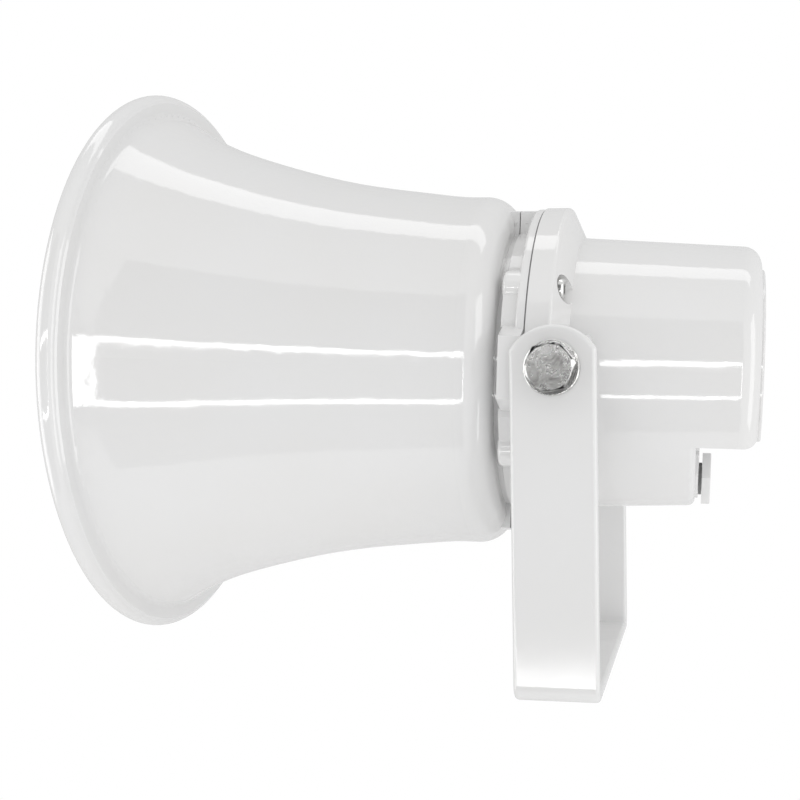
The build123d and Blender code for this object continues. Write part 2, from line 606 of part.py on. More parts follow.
def diaphragm():
    """Domed diaphragm with its flat surround."""
    dome = TangentArc((0, -9.9), (COIL_RADIUS, -7.35), tangent=(1, 0))
    surround = Line((COIL_RADIUS, -7.35), (DIAPHRAGM_RADIUS, -7.35))
    edge = Line((DIAPHRAGM_RADIUS, -7.35), (DIAPHRAGM_RADIUS, -7.15))
    under = Line((DIAPHRAGM_RADIUS, -7.15), (COIL_RADIUS - 0.1, -7.15))
    inner = TangentArc((0, -9.7), (COIL_RADIUS - 0.1, -7.15), tangent=(1, 0))
    axis = Line((0, -9.7), (0, -9.9))
    return turned(dome, surround, edge, under, inner, axis)


def voice_coil():
    """Coil former with its winding, hanging in the magnet gap."""
    former = ring(COIL_RADIUS - 0.1, COIL_RADIUS - 0.3, -7.15, -1.6)
    return former + ring(COIL_RADIUS + 0.3, COIL_RADIUS - 0.2, -5.6, -1.8)


# ---- line transformer and wiring ----------------------------------------------
def transformer_core():
    """Laminated core: two windows beside a centre limb."""
    core = block(*CORE)
    for side in (-1, 1):
        inner, outer = sorted((side * 4.5, side * 10.0))
        core -= block((inner, outer), (18, 32), (-0.5, 16.5))
    return core


def transformer_winding():
    """Bobbin and winding round the centre limb."""
    winding = block((-9.4, 9.4), (16.6, 33.4), (0.0, 16.0))
    winding = fillet(winding.edges().filter_by(Axis.Z), 1.6)
    return winding - block((-4.6, 4.6), (18.9, 31.1), (-1, 17))


def transformer_frame():
    """Bent steel strap that holds the core to the back plate."""
    strap = block((-16.2, 16.2), (BACK_PLATE_REAR, 32.2), FRAME_BAND)
    strap -= block((-15.1, 15.1), (BACK_PLATE_REAR - 1, 31.1), (FRAME_BAND[0] - 1, 25))
    for side in (-1, 1):
        inner, outer = sorted((side * 15.5, side * 24.5))
        strap += block((inner, outer), (BACK_PLATE_REAR, BACK_PLATE_REAR + 1.1), FRAME_BAND)
        strap -= rod(1.7, BACK_PLATE_REAR - 1, BACK_PLATE_REAR + 3,
                     (side * FRAME_SCREW_X, FRAME_SCREW_Z))
    return strap


def frame_screws():
    """Two short screws of the transformer's strap."""
    return [pan_screw(2.7, 1.8, 1.4, BACK_PLATE_REAR + 1.1, BACK_PLATE_REAR - 3.5,
                      (side * FRAME_SCREW_X, FRAME_SCREW_Z)) for side in (-1, 1)]


def terminal_block():
    """Two-way terminal block on the back plate, below the transformer."""
    body = block((-9, 9), (BACK_PLATE_REAR, BACK_PLATE_REAR + 9), (-24.5, -14.5))
    body = fillet(body.edges().filter_by(Axis.Y), 1.0)
    for x in (-TERMINAL_X, TERMINAL_X):
        body -= rod(2.0, BACK_PLATE_REAR + 4, BACK_PLATE_REAR + 10, (x, TERMINAL_Z))
        body -= Pos(x, BACK_PLATE_REAR + 5, -24) * Cylinder(1.6, 8)
        body -= Pos(x, BACK_PLATE_REAR + 5, -14) * Cylinder(1.4, 8)
    return body


def terminal_screws():
    """Clamp screws of the terminal block."""
    screws = []
    for x in (-TERMINAL_X, TERMINAL_X):
        screw = rod(1.9, BACK_PLATE_REAR + 6.7, BACK_PLATE_REAR + 8.4, (x, TERMINAL_Z))
        screws.append(screw - Pos(x, BACK_PLATE_REAR + 8.4, TERMINAL_Z) * Box(3.0, 1.2, 0.6))
    return screws


def lead_wires():
    """Two insulated leads from the terminal block up to the transformer."""
    wires = []
    for x in (-TERMINAL_X, TERMINAL_X):
        path = FilletPolyline((x, BACK_PLATE_REAR + 5, -17.2), (x, BACK_PLATE_REAR + 5, -10.5),
                              (x, BACK_PLATE_REAR + 19, -8.5), (x, BACK_PLATE_REAR + 19, 1.5),
                              radius=3.0)
        profile = Plane(origin=path @ 0, z_dir=path % 0) * Circle(0.8)
        wires.append(sweep(profile, path=path))
    return wires


# ---- export -------------------------------------------------------------------
def place(shape):
    """Set one piece, or a list of pieces, at the horn's resting tilt."""
    pieces = shape if isinstance(shape, list) else [shape]
    placed = [HORN_PLACE * piece for piece in pieces]
    return placed[0] if len(placed) == 1 else Compound(children=placed)


HORN_PIECES = {
    "horn_bell": horn_bell, "bell_gasket": bell_gasket, "bell_screws": bell_screws,
    "front_collar": front_collar, "tone_tube": tone_tube,
    "reflector_bullet": reflector_bullet, "bullet_screws": bullet_screws,
    "seam_gasket": seam_gasket, "rear_housing": rear_housing, "flange_screws": flange_screws,
    "throat_gasket": throat_gasket, "throat_cap": throat_cap, "clamp_ring": clamp_ring,
    "top_plate": top_plate, "magnet": magnet, "back_plate": back_plate,
    "driver_screws": driver_screws, "diaphragm": diaphragm, "voice_coil": voice_coil,
    "transformer_core": transformer_core, "transformer_winding": transformer_winding,
    "transformer_frame": transformer_frame, "frame_screws": frame_screws,
    "terminal_block": terminal_block, "terminal_screws": terminal_screws,
    "lead_wires": lead_wires, "inlet_plug": inlet_plug, "inlet_seal": inlet_seal,
}
PAIRED_PIECES = {
    "pivot_bolts": pivot_bolt, "pivot_washers": pivot_washer,
    "friction_washers": friction_washer, "lug_inserts": lug_insert,
}

os.makedirs("parts", exist_ok=True)
export_step(u_bracket(), "parts/u_bracket.step")
for name, build in HORN_PIECES.items():
    export_step(place(build()), f"parts/{name}.step")
for name, build in PAIRED_PIECES.items():
    export_step(place(both_sides(build())), f"parts/{name}.step")
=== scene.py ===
"""Looks of a white horn loudspeaker on its tilting bracket: finishes, fine pieces and studio."""

import logging
import math
from dataclasses import dataclass, field
from enum import Enum

import bmesh
import bpy
from mathutils import Matrix, Vector


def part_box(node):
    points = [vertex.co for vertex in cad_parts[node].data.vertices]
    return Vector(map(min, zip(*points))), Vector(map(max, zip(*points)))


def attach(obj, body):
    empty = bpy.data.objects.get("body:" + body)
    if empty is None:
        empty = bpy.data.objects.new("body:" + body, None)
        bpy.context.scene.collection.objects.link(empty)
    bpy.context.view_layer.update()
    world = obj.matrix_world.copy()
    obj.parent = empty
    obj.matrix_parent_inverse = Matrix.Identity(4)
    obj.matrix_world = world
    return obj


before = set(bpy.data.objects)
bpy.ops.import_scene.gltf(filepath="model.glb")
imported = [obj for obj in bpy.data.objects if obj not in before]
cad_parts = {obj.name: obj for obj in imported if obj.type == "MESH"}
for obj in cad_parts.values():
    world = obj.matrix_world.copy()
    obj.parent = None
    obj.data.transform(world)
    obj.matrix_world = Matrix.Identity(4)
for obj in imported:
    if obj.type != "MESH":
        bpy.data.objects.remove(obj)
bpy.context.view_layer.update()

LOG = logging.getLogger("horn_scene")
MM = 0.001
HORN_TILT = 2.6              # degrees that the mouth points up at rest
WAVE_UNIT = 3.1831           # bands in a metre of a wave texture of scale 1
SENSOR_WIDTH = 36.0
WHITE = (1.0, 1.0, 1.0, 1.0)
BLACK = (0.0, 0.0, 0.0, 1.0)
NODE_BODY = {"pivot_bolts": "horn", "horn_bell": "horn", "front_collar": "horn"}


def pivot_place() -> Vector:
    """Where the pivot axis crosses the middle of the object, from the bolts' box."""
    low, high = (Vector(corner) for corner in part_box("pivot_bolts"))
    return (low + high) / 2


def linked(name: str, data: bpy.types.ID) -> bpy.types.Object:
    """Make an object from its data and link it to the scene.

    Args:
        name: the object's name.
        data: its mesh, light or camera.

    Returns:
        The object.
    """
    made = bpy.data.objects.new(name, data)
    bpy.context.scene.collection.objects.link(made)
    return made


def mesh_from(bm: bmesh.types.BMesh, name: str) -> bpy.types.Mesh:
    """Turn a bmesh into a mesh and free it."""
    mesh = bpy.data.meshes.new(name)
    bm.to_mesh(mesh)
    bm.free()
    return mesh


# ---- finishes -----------------------------------------------------------------
class Graph:
    """Small hand-hold on one material's node tree, with its shader and object coordinates."""

    def __init__(self, name: str) -> None:
        """Make an empty material with a Principled shader.

        Args:
            name: the material's name.
        """
        self.material = bpy.data.materials.new(name)
        self.material.use_nodes = True
        self.tree = self.material.node_tree
        self.tree.nodes.clear()
        output = self.tree.nodes.new("ShaderNodeOutputMaterial")
        self.shader = self.tree.nodes.new("ShaderNodeBsdfPrincipled")
        self.tree.links.new(self.shader.outputs["BSDF"], output.inputs["Surface"])
        self.place = self.tree.nodes.new("ShaderNodeTexCoord").outputs["Object"]

    def set(self, **values: object) -> None:
        """Set constants on the shader's own sockets, named with underscores for spaces."""
        for key, value in values.items():
            self.shader.inputs[key.replace("_", " ")].default_value = value

    def link(self, source: bpy.types.NodeSocket, target: bpy.types.NodeSocket) -> None:
        """Join two sockets."""
        self.tree.links.new(source, target)

    def mapped(self, scale: tuple = (1, 1, 1), turn: tuple = (0, 0, 0),
               shift: tuple = (0, 0, 0)) -> bpy.types.NodeSocket:
        """Object coordinates, turned and stretched.

        Args:
            scale: stretch along each axis.
            turn: rotation in degrees.
            shift: offset in metres.

        Returns:
            The vector socket.
        """
        node = self.tree.nodes.new("ShaderNodeMapping")
        node.inputs["Scale"].default_value = scale
        node.inputs["Rotation"].default_value = [math.radians(angle) for angle in turn]
        node.inputs["Location"].default_value = shift
        self.link(self.place, node.inputs["Vector"])
        return node.outputs["Vector"]

    def radius(self, centre: Vector) -> bpy.types.NodeSocket:
        """Distance from a line along X through the centre, in metres.

        Args:
            centre: a point on the line.

        Returns:
            The distance socket.
        """
        away = self.tree.nodes.new("ShaderNodeVectorMath")
        away.operation = "SUBTRACT"
        away.inputs[1].default_value = centre
        flat = self.tree.nodes.new("ShaderNodeVectorMath")
        flat.operation = "MULTIPLY"
        flat.inputs[1].default_value = (0.0, 1.0, 1.0)
        size = self.tree.nodes.new("ShaderNodeVectorMath")
        size.operation = "LENGTH"
        self.link(self.place, away.inputs[0])
        self.link(away.outputs[0], flat.inputs[0])
        self.link(flat.outputs[0], size.inputs[0])
        return size.outputs["Value"]

    def noise(self, per_metre: float, detail: float = 2.0, vector: bpy.types.NodeSocket = None,
              rough: float = 0.5, twist: float = 0.0) -> bpy.types.NodeSocket:
        """Cloudy noise.

        Args:
            per_metre: how many features fit in a metre.
            detail: octaves.
            vector: coordinates, the plain object ones if left out.
            rough: weight of the fine octaves.
            twist: how far the noise is warped.

        Returns:
            The factor socket.
        """
        node = self.tree.nodes.new("ShaderNodeTexNoise")
        node.inputs["Scale"].default_value = per_metre
        node.inputs["Detail"].default_value = detail
        node.inputs["Roughness"].default_value = rough
        node.inputs["Distortion"].default_value = twist
        self.link(vector or self.place, node.inputs["Vector"])
        return node.outputs["Fac"]

    def cell_edges(self, per_metre: float, vector: bpy.types.NodeSocket) -> bpy.types.NodeSocket:
        """Distance from the edges of a Voronoi pattern."""
        node = self.tree.nodes.new("ShaderNodeTexVoronoi")
        node.feature = "DISTANCE_TO_EDGE"
        node.inputs["Scale"].default_value = per_metre
        self.link(vector, node.inputs["Vector"])
        return node.outputs["Distance"]

    def waves(self, per_metre: float, vector: bpy.types.NodeSocket,
              direction: str) -> bpy.types.NodeSocket:
        """Even bands across the coordinates."""
        node = self.tree.nodes.new("ShaderNodeTexWave")
        node.bands_direction = direction
        node.inputs["Scale"].default_value = per_metre / WAVE_UNIT
        self.link(vector, node.inputs["Vector"])
        return node.outputs["Fac"]

    def span(self, source: bpy.types.NodeSocket, low: float, high: float, start: float = 0.0,
             stop: float = 1.0) -> bpy.types.NodeSocket:
        """Map a factor's stretch (low, high) to (start, stop), clamped."""
        node = self.tree.nodes.new("ShaderNodeMapRange")
        for key, value in (("From Min", low), ("From Max", high), ("To Min", start),
                           ("To Max", stop)):
            node.inputs[key].default_value = value
        self.link(source, node.inputs["Value"])
        return node.outputs["Result"]

    def blend(self, factor: bpy.types.NodeSocket, first: object,
              second: object) -> bpy.types.NodeSocket:
        """Mix two colours, or two colour sockets, by a factor."""
        node = self.tree.nodes.new("ShaderNodeMix")
        node.data_type = "RGBA"
        self.link(factor, node.inputs[0])
        for socket, value in ((node.inputs[6], first), (node.inputs[7], second)):
            if isinstance(value, tuple):
                socket.default_value = (*value, 1.0)
            else:
                self.link(value, socket)
        return node.outputs[2]

    def both(self, first: bpy.types.NodeSocket, second: bpy.types.NodeSocket,
             kind: str, weight: float = None) -> bpy.types.NodeSocket:
        """Combine two factors by arithmetic; weight scales the second first."""
        if weight is not None:
            second = self.span(second, 0.0, 1.0, 0.0, weight)
        node = self.tree.nodes.new("ShaderNodeMath")
        node.operation = kind
        self.link(first, node.inputs[0])
        self.link(second, node.inputs[1])
        return node.outputs[0]

    def relief(self, height: bpy.types.NodeSocket, depth: float) -> None:
        """Bump the surface by a factor, and chain after any bump made before."""
        node = self.tree.nodes.new("ShaderNodeBump")
        node.inputs["Distance"].default_value = depth
        node.inputs["Strength"].default_value = 1.0
        self.link(height, node.inputs["Height"])
        target = self.shader.inputs["Normal"]
        if target.links:
            self.link(target.links[0].from_socket, node.inputs["Normal"])
        self.link(node.outputs["Normal"], target)

    def colour(self, source: bpy.types.NodeSocket) -> None:
        """Drive the base colour."""
        self.link(source, self.shader.inputs["Base Color"])

    def roughness(self, source: bpy.types.NodeSocket) -> None:
        """Drive the roughness."""
        self.link(source, self.shader.inputs["Roughness"])


@dataclass(frozen=True)
class GlossMoulding:
    """Glossy white moulding with the faint ripple of its mould."""

    name: str
    shade: float = 0.80
    gloss: float = 0.05
    ripple: float = 0.05 * MM
    warmth: tuple = (0.985, 0.98, 0.972)
    waviness: tuple = ((70, 1.5, 1.6), (230, 2.5, 0.75), (900, 2.0, 0.05))

    def build(self) -> bpy.types.Material:
        """Make the material."""
        g = Graph(self.name)
        g.set(IOR=1.5, Coat_Weight=0.30, Coat_Roughness=0.03)
        cloud = g.noise(18, 3)
        bright = (self.shade, self.shade, self.shade)
        warm = tuple(self.shade * part for part in self.warmth)
        g.colour(g.blend(g.span(cloud, 0.35, 0.7), bright, warm))
        smear = g.noise(60, 4, g.mapped(scale=(1.0, 0.35, 1.0)), twist=0.4)
        g.roughness(g.span(smear, 0.3, 0.75, self.gloss, self.gloss * 1.9))
        for per_metre, detail, part in self.waviness:
            g.relief(g.noise(per_metre, detail), self.ripple * part)
        return g.material


@dataclass(frozen=True)
class PowderCoat:
    """White stoved powder with orange peel, hairline scratches and a few chips."""

    name: str
    shade: float = 0.81
    warmth: tuple = (0.98, 0.977, 0.972)
    scratch_shade: tuple = (0.90, 0.90, 0.90)
    dent_depth: float = 0.20 * MM
    peel_depth: float = 0.012 * MM
    sag_depth: float = 0.05 * MM
    scratch_depth: float = 0.04 * MM

    def build(self) -> bpy.types.Material:
        """Make the material."""
        g = Graph(self.name)
        g.set(IOR=1.5, Coat_Weight=0.25, Coat_Roughness=0.1)
        cloud = g.noise(26, 3)
        warm = tuple(self.shade * part for part in self.warmth)
        base = g.blend(g.span(cloud, 0.3, 0.7), (self.shade,) * 3, warm)
        hair = g.cell_edges(46, g.mapped(scale=(1.0, 2.6, 0.8), turn=(37, 0, 0)))
        rare = g.span(g.noise(42, 2, g.mapped(shift=(0.31, 0.02, 0.4))), 0.66, 0.70)
        scratch = g.both(g.span(hair, 0.0, 0.004, 1.0, 0.0), rare, "MULTIPLY")
        g.colour(g.blend(scratch, base, self.scratch_shade))
        g.roughness(g.span(g.noise(50, 3), 0.3, 0.7, 0.07, 0.13))
        dents = g.span(g.noise(34, 1.0, g.mapped(shift=(0.1, 0.2, 0.07))), 0.45, 0.75)
        g.relief(g.both(g.noise(170, 3.0), dents, "MULTIPLY"), self.dent_depth)
        g.relief(g.noise(620, 2.0), self.peel_depth)
        g.relief(g.noise(55, 1.0), self.sag_depth)
        g.relief(scratch, -self.scratch_depth)
        return g.material


@dataclass(frozen=True)
class WornStainless:
    """Stainless steel with tarnish clouds and tool marks, and, when asked, painted shade:
    near-black patches round the rim of the head.
    """

    name: str
    light: tuple = (0.74, 0.74, 0.73)
    dark: tuple = (0.16, 0.155, 0.15)
    cloud_low: float = 0.40
    cloud_high: float = 0.74
    # painted shade: near-black patches on the head's flanks, outside the rim radius
    paints_rim_shade: bool = False
    painted_rim_shade: tuple = (0.012, 0.012, 0.012)
    rim: tuple = (6.25 * MM, 6.5 * MM)
    mark_depth: float = 0.012 * MM
    cloud_depth: float = 0.06 * MM

    def build(self) -> bpy.types.Material:
        """Make the material."""
        g = Graph(self.name)
        g.set(Metallic=1.0)
        cloud = g.noise(190, 5, twist=0.6, rough=0.6)
        fine = g.noise(1300, 4, g.mapped(scale=(1.0, 0.35, 1.0), turn=(35, 0, 0)), rough=0.7)
        mark = g.both(g.span(cloud, self.cloud_low, self.cloud_high), fine, "ADD", weight=0.22)
        base = g.blend(g.span(mark, 0.08, 1.0), self.light, self.dark)
        # painted shade: near-black blended in outside the rim radius, in patches
        if self.paints_rim_shade:
            flank = g.span(g.radius(pivot_place()), *self.rim)
            patch = g.span(g.noise(240, 3, rough=0.6), 0.40, 0.52)
            base = g.blend(g.both(flank, patch, "MULTIPLY"), base, self.painted_rim_shade)
        g.colour(base)
        g.roughness(g.span(mark, 0.0, 1.0, 0.16, 0.42))
        g.relief(fine, self.mark_depth)
        g.relief(cloud, self.cloud_depth)
        return g.material


@dataclass(frozen=True)
class PlatedSteel:
    """Zinc or nickel plate with a faint drawn grain."""

    name: str
    shade: tuple = (0.62, 0.63, 0.65)
    rough: float = 0.28

    def build(self) -> bpy.types.Material:
        """Make the material."""
        g = Graph(self.name)
        g.set(Metallic=1.0)
        grain = g.noise(900, 3, g.mapped(scale=(1.0, 0.15, 1.0)))
        dull = tuple(value * 0.8 for value in self.shade)
        g.colour(g.blend(g.span(grain, 0.3, 0.7), self.shade, dull))
        g.roughness(g.span(g.noise(240, 3), 0.3, 0.7, self.rough, self.rough * 1.6))
        g.relief(grain, 0.01 * MM)
        return g.material


@dataclass(frozen=True)
class DullBody:
    """Matt body with a fine grain: rubber, ferrite, fibre or film."""

    name: str
    shade: tuple
    rough: float = 0.7
    grain_per_metre: float = 1200.0
    grain_depth: float = 0.03 * MM

    def build(self) -> bpy.types.Material:
        """Make the material."""
        g = Graph(self.name)
        grain = g.noise(self.grain_per_metre, 4)
        pale = tuple(min(1.0, value * 1.25 + 0.01) for value in self.shade)
        g.colour(g.blend(g.span(grain, 0.35, 0.75), self.shade, pale))
        dullest = min(1.0, self.rough * 1.1)
        g.roughness(g.span(g.noise(200, 2), 0.3, 0.7, self.rough * 0.88, dullest))
        g.relief(grain, self.grain_depth)
        return g.material


@dataclass(frozen=True)
class BandedBody:
    """Body made of thin layers or turns: laminations or wound wire."""

    name: str
    shade: tuple
    groove: tuple
    pitch: float
    direction: str
    metal: float = 0.0
    rough: float = 0.45

    def build(self) -> bpy.types.Material:
        """Make the material."""
        g = Graph(self.name)
        g.set(Metallic=self.metal)
        bands = g.waves(1.0 / self.pitch, g.mapped(turn=(HORN_TILT, 0, 0)), self.direction)
        # groove colour between bands: dark joints between laminations, painted shade in the
        # creases between wire turns
        g.colour(g.blend(g.span(bands, 0.05, 0.5), self.groove, self.shade))
        g.roughness(g.span(g.noise(400, 3), 0.3, 0.7, self.rough, self.rough * 1.5))
        g.relief(bands, self.pitch * 0.3)
        return g.material


class Finish(Enum):
    """Every finish of the object, named in a maker's words."""

    BELL_GLOSS = GlossMoulding("bell_gloss")
    HOUSING_GLOSS = GlossMoulding("housing_gloss", shade=0.82)
    INNER_WHITE = GlossMoulding("inner_white", shade=0.74, gloss=0.3, ripple=0.03 * MM)
    POWDER_WHITE = PowderCoat("powder_white")
    # the bolt heads get the painted shade round their rims
    BOLT_STAINLESS = WornStainless("bolt_stainless", paints_rim_shade=True)
    # less tarnish than the bolt head, so the stamped marks show lighter: painted highlight
    STAMP_STAINLESS = WornStainless("stamp_stainless", cloud_low=0.55, cloud_high=0.95)
    SCREW_STAINLESS = WornStainless("screw_stainless", cloud_low=0.5, cloud_high=0.9)
    SEAL_GREY = DullBody("seal_grey", (0.50, 0.50, 0.50))
    ZINC = PlatedSteel("zinc")
    POLE_STEEL = PlatedSteel("pole_steel", shade=(0.42, 0.42, 0.43), rough=0.38)
    BRASS = PlatedSteel("brass", shade=(0.75, 0.57, 0.28), rough=0.25)
    # grey rubber for the seam gasket; on the bell gasket its dark grey fills the gap between
    # bell and collar as painted shade
    SEAM_RUBBER_AND_GAP_SHADE = DullBody("seam_rubber_and_gap_shade", (0.34, 0.34, 0.345))
    FERRITE = DullBody("ferrite", (0.045, 0.045, 0.048), rough=0.55)
    FIBRE = DullBody("fibre", (0.30, 0.19, 0.11), rough=0.85)
    FILM = DullBody("film", (0.36, 0.19, 0.08), rough=0.35)
    TERMINAL = DullBody("terminal", (0.72, 0.71, 0.66), rough=0.4)
    WIRE_COVER = DullBody("wire_cover", (0.42, 0.03, 0.025), rough=0.4)
    LAMINATIONS = BandedBody("laminations", (0.20, 0.20, 0.21), (0.04, 0.04, 0.04), 0.5 * MM,
                             "Y", metal=0.8)
    # its dark groove colour is painted shade between the turns
    COIL_WIRE = BandedBody("coil_wire", (0.55, 0.22, 0.10), (0.12, 0.04, 0.02), 0.3 * MM, "Z",
                           metal=0.7, rough=0.3)


NODE_FINISH = {
    "u_bracket": Finish.POWDER_WHITE, "horn_bell": Finish.BELL_GLOSS,
    # bell_gasket: dark ring in the shaded gap between bell and collar, painted shade
    "bell_gasket": Finish.SEAM_RUBBER_AND_GAP_SHADE, "bell_screws": Finish.ZINC,
    "front_collar": Finish.HOUSING_GLOSS, "tone_tube": Finish.INNER_WHITE,
    "reflector_bullet": Finish.INNER_WHITE, "bullet_screws": Finish.SCREW_STAINLESS,
    "seam_gasket": Finish.SEAM_RUBBER_AND_GAP_SHADE, "rear_housing": Finish.HOUSING_GLOSS,
    "flange_screws": Finish.SCREW_STAINLESS, "throat_gasket": Finish.FIBRE,
    "throat_cap": Finish.INNER_WHITE, "clamp_ring": Finish.INNER_WHITE,
    "top_plate": Finish.POLE_STEEL, "magnet": Finish.FERRITE, "back_plate": Finish.POLE_STEEL,
    "driver_screws": Finish.ZINC, "diaphragm": Finish.FILM, "voice_coil": Finish.COIL_WIRE,
    "transformer_core": Finish.LAMINATIONS, "transformer_winding": Finish.COIL_WIRE,
    "transformer_frame": Finish.ZINC, "frame_screws": Finish.ZINC,
    "terminal_block": Finish.TERMINAL, "terminal_screws": Finish.ZINC,
    "lead_wires": Finish.WIRE_COVER, "inlet_plug": Finish.HOUSING_GLOSS,
    "inlet_seal": Finish.SEAL_GREY, "pivot_bolts": Finish.BOLT_STAINLESS,
    "pivot_washers": Finish.SCREW_STAINLESS, "friction_washers": Finish.FIBRE,
    "lug_inserts": Finish.BRASS,
}


@dataclass
class Wardrobe:
    """Makes each finish once and puts it on pieces."""

    made: dict = field(default_factory=dict)

    def material(self, finish: Finish) -> bpy.types.Material:
        """The finish's material, made on first use."""
        if finish not in self.made:
            self.made[finish] = finish.value.build()
        return self.made[finish]

    def dress(self, piece: bpy.types.Object, finish: Finish) -> None:
        """Give a piece one finish all over."""
        if not piece.data.materials:
            piece.data.materials.append(None)
        for index in range(len(piece.data.materials)):
            piece.data.materials[index] = self.material(finish)


# ---- fine pieces --------------------------------------------------------------
@dataclass(frozen=True)
class Stroke:
    """One raised dash: its bearing and reach on the disc, its heading and its length."""

    turn: float
    reach: float
    heading: float
    length: float


@dataclass(frozen=True)
class HeadMarks:
    """Raised ring and dashes on the face of one pivot bolt's head."""

    side: int
    width: float = 0.26 * MM
    height: float = 0.16 * MM
    rim: float = 4.4 * MM
    ring_radius: float = 0.62 * MM
    ring_turn: float = 112.0
    ring_stretch: float = 1.25
    ring_steps: int = 28
    strokes: tuple = (
        Stroke(84, 1.0, 62, 1.5 * MM), Stroke(76, 1.0, -30, 1.2 * MM),
        Stroke(52, 1.03, -38, 1.9 * MM), Stroke(20, 1.02, 40, 1.3 * MM),
        Stroke(12, 0.98, -72, 1.2 * MM), Stroke(-16, 1.0, 70, 1.5 * MM),
        Stroke(-24, 1.0, 10, 1.4 * MM), Stroke(-30, 0.94, -60, 1.0 * MM),
    )

    def build(self, wardrobe: Wardrobe) -> bpy.types.Object:
        """Make the marks in place.

        Args:
            wardrobe: the finishes.

        Returns:
            The piece, riding with the bolt.
        """
        centre = pivot_place()
        centre.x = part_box("pivot_bolts")[1 if self.side > 0 else 0][0]
        bm = bmesh.new()
        for stroke in self.strokes:
            self.bar(bm, stroke)
        self.ring(bm)
        tilt = Matrix.Rotation(math.radians(-HORN_TILT), 4, "X")
        flip = Matrix.Rotation(0.0 if self.side > 0 else math.pi, 4, "Z")
        bm.transform(Matrix.Translation(centre) @ tilt @ flip)
        # the marks' lighter finish is a painted highlight
        return finished(bm, f"head_marks_{'right' if self.side > 0 else 'left'}", "pivot_bolts",
                        wardrobe, Finish.STAMP_STAINLESS)

    def bar(self, bm: bmesh.types.BMesh, stroke: Stroke) -> None:
        """Add one raised bar, sunk a little into the face."""
        turn, heading = math.radians(stroke.turn), math.radians(stroke.heading)
        middle = Vector((self.height / 4, math.cos(turn), math.sin(turn)))
        middle.y *= self.rim * stroke.reach
        middle.z *= self.rim * stroke.reach
        size = Matrix.Diagonal((self.height * 1.5, stroke.length, self.width, 1.0))
        place = Matrix.Translation(middle) @ Matrix.Rotation(heading, 4, "X") @ size
        made = bmesh.ops.create_cube(bm, size=1.0, matrix=place)
        edges = list({edge for vert in made["verts"] for edge in vert.link_edges})
        bmesh.ops.bevel(bm, geom=edges, offset=self.height * 0.35, segments=2, profile=0.5,
                        affect="EDGES", material=-1)

    def ring(self, bm: bmesh.types.BMesh) -> None:
        """Add the raised ring near the top of the face."""
        turn = math.radians(self.ring_turn)
        centre = Vector((0.0, self.rim * math.cos(turn), self.rim * math.sin(turn)))
        half = self.width / 2
        profile = [(-half, -half), (half, -half), (half, self.height), (-half, self.height)]
        rows = []
        for step in range(self.ring_steps):
            angle = 2 * math.pi * step / self.ring_steps
            out = Vector((0.0, math.cos(angle), math.sin(angle) * self.ring_stretch))
            rows.append([bm.verts.new(centre + out * (self.ring_radius + across)
                                      + Vector((up, 0.0, 0.0))) for across, up in profile])
        for index, row in enumerate(rows):
            after = rows[(index + 1) % self.ring_steps]
            for corner in range(len(profile)):
                beside = (corner + 1) % len(profile)
                bm.faces.new((row[corner], after[corner], after[beside], row[beside]))


@dataclass(frozen=True)
class RegisterMark:
    """Small raised triangle on the side of the bell's or the collar's register pad."""

    name: str
    node: str
    station: float
    rise: float
    size: float
    points_rear: bool = False
    pad_half: float = 14.0 * MM
    height: float = 0.25 * MM

    def build(self, wardrobe: Wardrobe) -> bpy.types.Object:
        """Make the mark in place.

        Args:
            wardrobe: the finishes.

        Returns:
            The piece, riding with the horn.
        """
        bm = bmesh.new()
        made = bmesh.ops.create_cone(bm, cap_ends=True, segments=3, radius1=self.size,
                                     radius2=self.size * 0.8, depth=2 * self.height)
        bmesh.ops.rotate(bm, verts=made["verts"], matrix=Matrix.Rotation(math.pi / 2, 3, "Y"))
        spin = math.pi / 2 if self.points_rear else -math.pi / 2
        bmesh.ops.rotate(bm, verts=made["verts"], matrix=Matrix.Rotation(spin, 3, "X"))
        local = Matrix.Translation((self.pad_half, self.station, self.rise))
        tilt = Matrix.Rotation(math.radians(-HORN_TILT), 4, "X")
        bm.transform(Matrix.Translation(pivot_place()) @ tilt @ local)
        return finished(bm, self.name, self.node, wardrobe, Finish.HOUSING_GLOSS)


def finished(bm: bmesh.types.BMesh, name: str, node: str, wardrobe: Wardrobe,
             finish: Finish) -> bpy.types.Object:
    """Turn a bmesh into a dressed piece that moves with a node's body.

    Args:
        bm: the shape, in place, which is freed.
        name: the piece's name.
        node: a node of the body that the piece rides on.
        wardrobe: the finishes.
        finish: the piece's finish.

    Returns:
        The new piece.
    """
    bmesh.ops.recalc_face_normals(bm, faces=bm.faces)
    piece = linked(name, mesh_from(bm, name))
    wardrobe.dress(piece, finish)
    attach(piece, NODE_BODY[node])
    return piece


def fine_pieces(wardrobe: Wardrobe) -> None:
    """Make the stamped marks and the register marks."""
    for side in (1, -1):
        HeadMarks(side).build(wardrobe)
    marks = (
        RegisterMark("bell_mark", "horn_bell", -19.3 * MM, 47.8 * MM, 0.75 * MM),
        RegisterMark("collar_mark", "front_collar", -15.6 * MM, 47.8 * MM, 0.5 * MM, True),
    )
    for mark in marks:
        mark.build(wardrobe)


